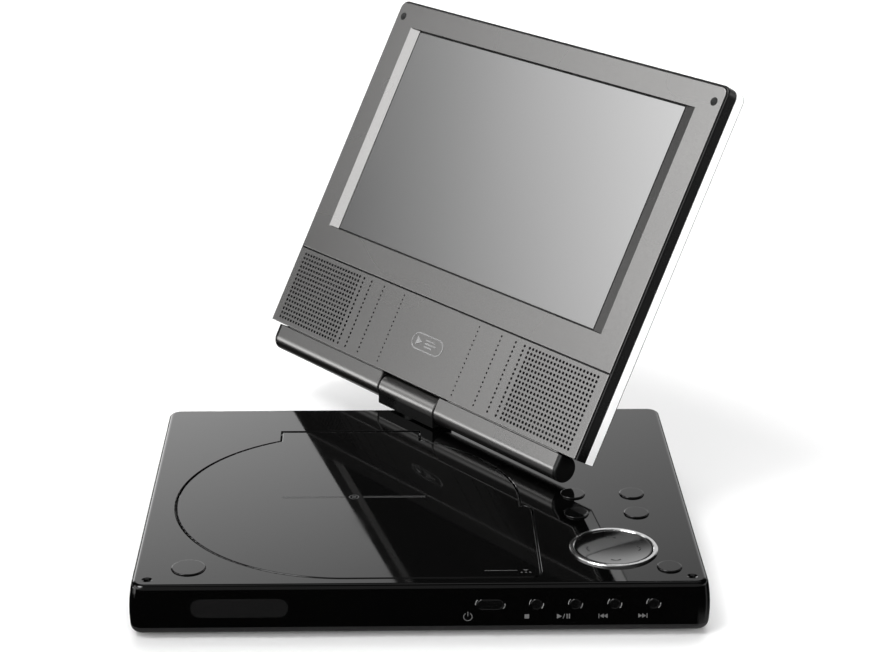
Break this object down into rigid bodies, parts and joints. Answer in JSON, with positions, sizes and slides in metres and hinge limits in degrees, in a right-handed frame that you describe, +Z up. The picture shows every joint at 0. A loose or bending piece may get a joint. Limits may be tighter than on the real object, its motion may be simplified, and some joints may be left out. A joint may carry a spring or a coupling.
{
  "type": "portable dvd player",
  "caption": "Flat portable disc player with a swivelling, tilting screen, speaker panel, hinged disc lid, navigation pad and front buttons.",
  "frame": {"origin": "middle of the base's footprint, on the surface that the rubber feet stand on", "axes": "+Z up, -Y towards the front edge with the transport buttons, +X towards the navigation pad"},
  "size_m": [0.2263, 0.2854, 0.1665],
  "materials": {
    "deck_gloss_black": "piano black gloss",
    "lower_matt_black": "fine matt texture",
    "titanium_grey": "satin titanium-grey metallic paint",
    "frame_black": "semi-gloss black",
    "bright_band": "bright silver",
    "screen_glass": "smooth anti-glare polarizer film",
    "ir_smoke": "smoked infrared-pass plastic",
    "chrome_trim": "polished",
    "key_black": "gloss",
    "rubber_black": "matt",
    "steel": "turned",
    "zinc_screw": "black zinc",
    "board_green": "solder resist",
    "battery_wrap": "shrink wrap",
    "inner_grey": "moulded",
    "drive_metal": "pressed",
    "lens_blue": "coated lens"
  },
  "bodies": {
    "base": {"audio_jacks": "inner_grey", "battery_door": "lower_matt_black", "battery_pack": "battery_wrap", "bottom_shell": "lower_matt_black", "case_screws": "zinc_screw", "dc_jack": "inner_grey", "deck_key_board": "board_green", "disc_well": "inner_grey", "drive_chassis": "drive_metal", "drive_dampers": "rubber_black", "feed_motor": "steel", "front_key_board": "board_green", "guide_rods": "steel", "ir_window": "ir_smoke", "main_board": "board_green", "nav_ring": "chrome_trim", "rubber_feet": "rubber_black", "spindle_motor": "steel", "swivel_bush": "frame_black", "top_shell": "deck_gloss_black"},
    "disc_lid": {"disc_lid": "deck_gloss_black", "lid_hinge_pins": "steel", "lid_catch": "inner_grey"},
    "turntable": {"turntable": "inner_grey", "clamp_balls": "steel"},
    "pickup": {"pickup_sled": "inner_grey", "pickup_lens": "lens_blue"},
    "lead_screw": {"lead_screw": "steel"},
    "nav_pivot": {"nav_pivot": "steel"},
    "nav_pad": {"nav_pad": "key_black"},
    "volume_wheel": {"volume_wheel": "rubber_black"},
    "swivel": {"swivel_post": "steel", "swivel_block": "frame_black", "hinge_knuckle": "titanium_grey", "tilt_pins": "steel", "retaining_ring": "steel"},
    "display": {"speaker_panel": "titanium_grey", "display_bezel": "titanium_grey", "screen_window": "screen_glass", "screen_module": "inner_grey", "display_frame": "frame_black", "side_band": "bright_band", "rear_cover": "deck_gloss_black", "loudspeakers": "inner_grey", "display_board": "board_green", "display_bumpers": "rubber_black", "hinge_barrel_left": "titanium_grey", "hinge_barrel_right": "titanium_grey", "barrel_end_caps": "frame_black"},
    "function_button_1": {"function_button_1": "key_black"},
    "function_button_2": {"function_button_2": "key_black"},
    "function_button_3": {"function_button_3": "key_black"},
    "function_button_4": {"function_button_4": "key_black"},
    "menu_button": {"menu_button": "key_black"},
    "open_button": {"open_button": "key_black"},
    "power_button": {"power_button": "key_black"},
    "previous_button": {"previous_button": "key_black"},
    "play_button": {"play_button": "key_black"},
    "stop_button": {"stop_button": "key_black"},
    "next_button": {"next_button": "key_black"}
  },
  "joints": [
    {"name": "display_swivel", "type": "hinge", "parent": "base", "child": "swivel", "pos_m": [0, 0.075, 0.02], "axis": [0, 0, 1], "range_deg": [-127.5, 52.5]},
    {"name": "display_tilt", "type": "hinge", "parent": "swivel", "child": "display", "pos_m": [0, 0.075, 0.0268], "axis": [-0.6088, 0.7934, 0], "range_deg": [-119.2, 60.8]},
    {"name": "disc_lid_hinge", "type": "hinge", "parent": "base", "child": "disc_lid", "pos_m": [-0.026, 0.0558, 0.0188], "axis": [-1, 0, 0], "range_deg": [0, 40]},
    {"name": "turntable_spin", "type": "hinge", "parent": "base", "child": "turntable", "pos_m": [-0.026, -0.011, 0.012], "axis": [0, 0, 1], "continuous": true},
    {"name": "pickup_slide", "type": "slide", "parent": "base", "child": "pickup", "axis": [0, -1, 0], "range_m": [0, 0.032]},
    {"name": "lead_screw_turn", "type": "hinge", "parent": "base", "child": "lead_screw", "pos_m": [-0.0025, -0.074, 0.006], "axis": [0, 1, 0], "range_deg": [0, 3841]},
    {"name": "nav_tilt_sideways", "type": "hinge", "parent": "base", "child": "nav_pivot", "pos_m": [0.0698, -0.053, 0.0162], "axis": [0, 1, 0], "range_deg": [-2.5, 2.5], "stiffness_Nm_per_rad": 0.15},
    {"name": "nav_tilt_updown", "type": "hinge", "parent": "nav_pivot", "child": "nav_pad", "pos_m": [0.0698, -0.053, 0.0162], "axis": [1, 0, 0], "range_deg": [-2.5, 2.5], "stiffness_Nm_per_rad": 0.15},
    {"name": "volume_turn", "type": "hinge", "parent": "base", "child": "volume_wheel", "pos_m": [0.0963, -0.042, 0.01], "axis": [0, 0, 1], "range_deg": [-140, 140]},
    {"name": "function_button_1_press", "type": "slide", "parent": "base", "child": "function_button_1", "axis": [0, 0, -1], "range_m": [0, 0.0006], "stiffness_N_per_m": 900},
    {"name": "function_button_2_press", "type": "slide", "parent": "base", "child": "function_button_2", "axis": [0, 0, -1], "range_m": [0, 0.0006], "stiffness_N_per_m": 900},
    {"name": "function_button_3_press", "type": "slide", "parent": "base", "child": "function_button_3", "axis": [0, 0, -1], "range_m": [0, 0.0006], "stiffness_N_per_m": 900},
    {"name": "function_button_4_press", "type": "slide", "parent": "base", "child": "function_button_4", "axis": [0, 0, -1], "range_m": [0, 0.0006], "stiffness_N_per_m": 900},
    {"name": "menu_button_press", "type": "slide", "parent": "base", "child": "menu_button", "axis": [0, 0, -1], "range_m": [0, 0.0006], "stiffness_N_per_m": 900},
    {"name": "open_button_press", "type": "slide", "parent": "base", "child": "open_button", "axis": [0, 0, -1], "range_m": [0, 0.0009], "stiffness_N_per_m": 900},
    {"name": "power_button_press", "type": "slide", "parent": "base", "child": "power_button", "axis": [0, 1, 0], "range_m": [0, 0.0006], "stiffness_N_per_m": 700},
    {"name": "previous_button_press", "type": "slide", "parent": "base", "child": "previous_button", "axis": [0, 1, 0], "range_m": [0, 0.0006], "stiffness_N_per_m": 700},
    {"name": "play_button_press", "type": "slide", "parent": "base", "child": "play_button", "axis": [0, 1, 0], "range_m": [0, 0.0006], "stiffness_N_per_m": 700},
    {"name": "stop_button_press", "type": "slide", "parent": "base", "child": "stop_button", "axis": [0, 1, 0], "range_m": [0, 0.0006], "stiffness_N_per_m": 700},
    {"name": "next_button_press", "type": "slide", "parent": "base", "child": "next_button", "axis": [0, 1, 0], "range_m": [0, 0.0006], "stiffness_N_per_m": 700}
  ],
  "couplings": [
    {"joint": "lead_screw_turn", "follows": "pickup_slide", "rad_per_m": 2094.4}
  ]
}
